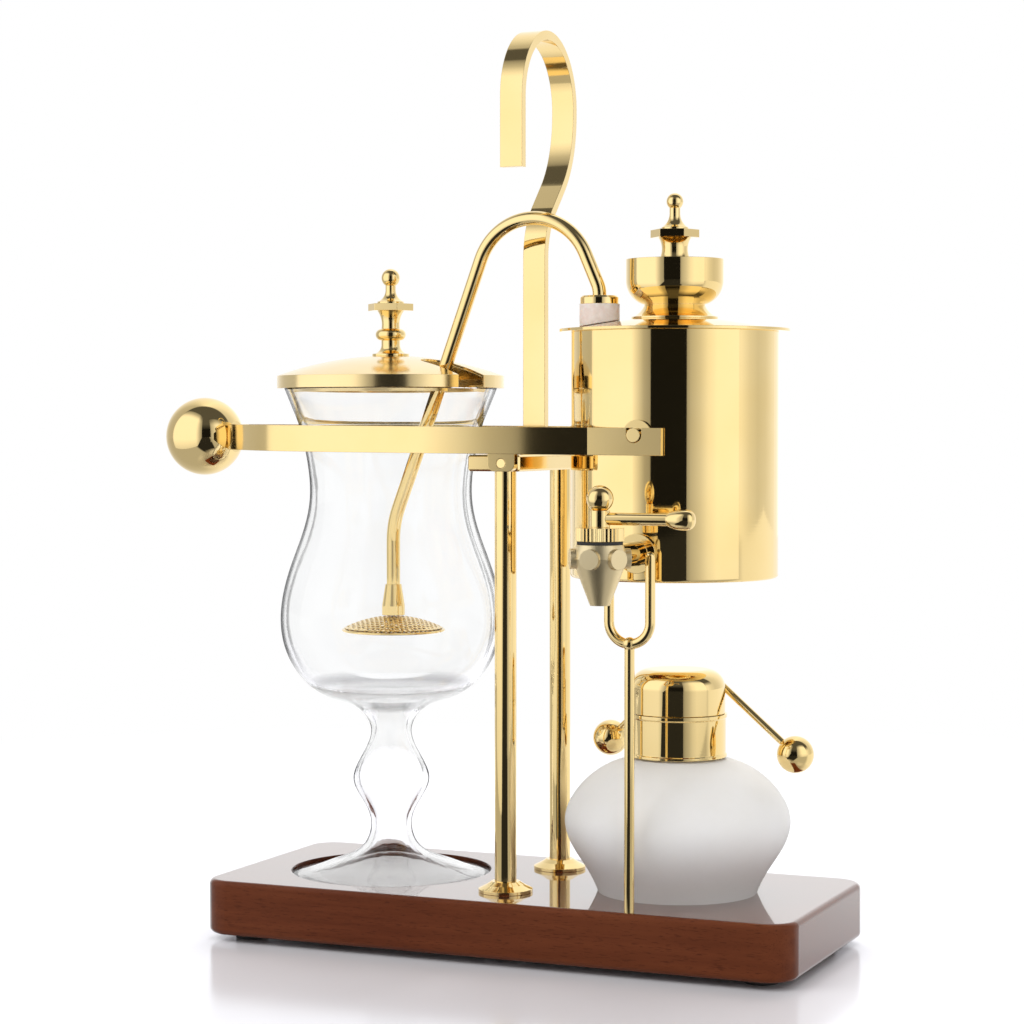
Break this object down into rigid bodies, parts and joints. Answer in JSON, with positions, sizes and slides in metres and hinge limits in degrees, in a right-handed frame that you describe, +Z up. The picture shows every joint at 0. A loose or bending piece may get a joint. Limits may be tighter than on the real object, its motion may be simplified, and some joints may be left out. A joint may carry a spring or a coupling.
{
  "type": "balance siphon coffee maker",
  "caption": "Balance siphon coffee maker: a kettle on a tilting beam with a counterweight ball, a siphon tube into a stemmed glass, and a spirit lamp with a hinged snuffer on a wooden base.",
  "frame": {"origin": "on the table, under the middle of the wooden base and midway between the two posts", "axes": "+Z up, +X along the base towards the kettle, +Y to the back, away from the tap"},
  "size_m": [0.3187, 0.1587, 0.4],
  "materials": {
    "gold": "polished",
    "mahogany": "gloss varnish",
    "black_rubber": "matte",
    "steel": "bright",
    "silicone": "satin",
    "cotton": "braided",
    "clear_glass": "clear",
    "frosted_glass": "frosted"
  },
  "bodies": {
    "stand": {"wooden_base": "mahogany", "rubber_feet": "black_rubber", "front_post": "gold", "rear_post": "gold", "front_post_collar": "gold", "rear_post_collar": "gold", "post_tie_rods": "steel", "post_washers": "steel", "post_nuts": "steel", "bridge_block": "gold", "pivot_pins": "gold", "carry_handle": "gold", "handle_screw": "steel", "guide_fork": "gold"},
    "beam": {"balance_beam": "gold", "pivot_lugs": "gold", "counterweight_ball": "gold", "counterweight_stud": "steel", "counterweight_nut": "steel"},
    "kettle": {"kettle_body": "gold", "kettle_lid": "gold", "filler_bowl": "gold", "kettle_trunnions": "gold", "tap_flange": "gold", "tap_body": "gold", "tap_ring": "black_rubber", "tap_nut": "gold"},
    "tap_handle": {"tap_plug": "gold", "tap_lever": "gold", "tap_lever_ball": "gold"},
    "filler_plug": {"filler_plug": "gold", "filler_plug_seal": "silicone"},
    "siphon": {"bung": "silicone", "bung_washer": "gold", "siphon_tube": "gold", "filter_nozzle": "gold", "filter_head": "gold", "filter_plate": "gold"},
    "glass": {"glass_vessel": "clear_glass"},
    "glass_lid": {"glass_lid": "gold", "lid_knob": "gold", "lid_knob_screw": "steel"},
    "lamp": {"lamp_bottle": "frosted_glass", "lamp_collar": "gold", "wick_holder": "gold", "wick": "cotton", "snuffer_hinge_bracket": "gold", "snuffer_hinge_pin": "gold"},
    "snuffer": {"snuffer_cap": "gold", "cap_knuckle": "gold", "snuffer_rods": "gold", "snuffer_balls": "gold"}
  },
  "joints": [
    {"name": "beam_tilt", "type": "hinge", "parent": "stand", "child": "beam", "pos_m": [0.006, 0, 0.2115], "axis": [0, 1, 0], "range_deg": [0, 6]},
    {"name": "kettle_swing", "type": "hinge", "parent": "beam", "child": "kettle", "pos_m": [0.0655, 0, 0.2235], "axis": [0, 1, 0], "range_deg": [-6, 0]},
    {"name": "tap_turn", "type": "hinge", "parent": "kettle", "child": "tap_handle", "pos_m": [0.0655, -0.088, 0.19], "axis": [0, 0, 1], "range_deg": [-90, 0]},
    {"name": "filler_plug_lift", "type": "slide", "parent": "kettle", "child": "filler_plug", "axis": [0, 0, 1], "range_m": [0, 0.03]},
    {"name": "bung_lift", "type": "slide", "parent": "kettle", "child": "siphon", "axis": [0, 0, 1], "range_m": [0, 0.008]},
    {"name": "glass_lift", "type": "slide", "parent": "stand", "child": "glass", "axis": [0, 0, 1], "range_m": [0, 0.005]},
    {"name": "glass_lid_lift", "type": "slide", "parent": "glass", "child": "glass_lid", "axis": [0, 0, 1], "range_m": [0, 0.015]},
    {"name": "lamp_slide", "type": "slide", "parent": "stand", "child": "lamp", "axis": [1, 0, 0], "range_m": [0, 0.03]},
    {"name": "snuffer_hinge", "type": "hinge", "parent": "lamp", "child": "snuffer", "pos_m": [0.07364, 0.02418, 0.1042], "axis": [-0.9673, 0.2538, 0], "range_deg": [0, 100]}
  ],
  "couplings": [
    {"joint": "kettle_swing", "follows": "beam_tilt", "ratio": -1}
  ]
}
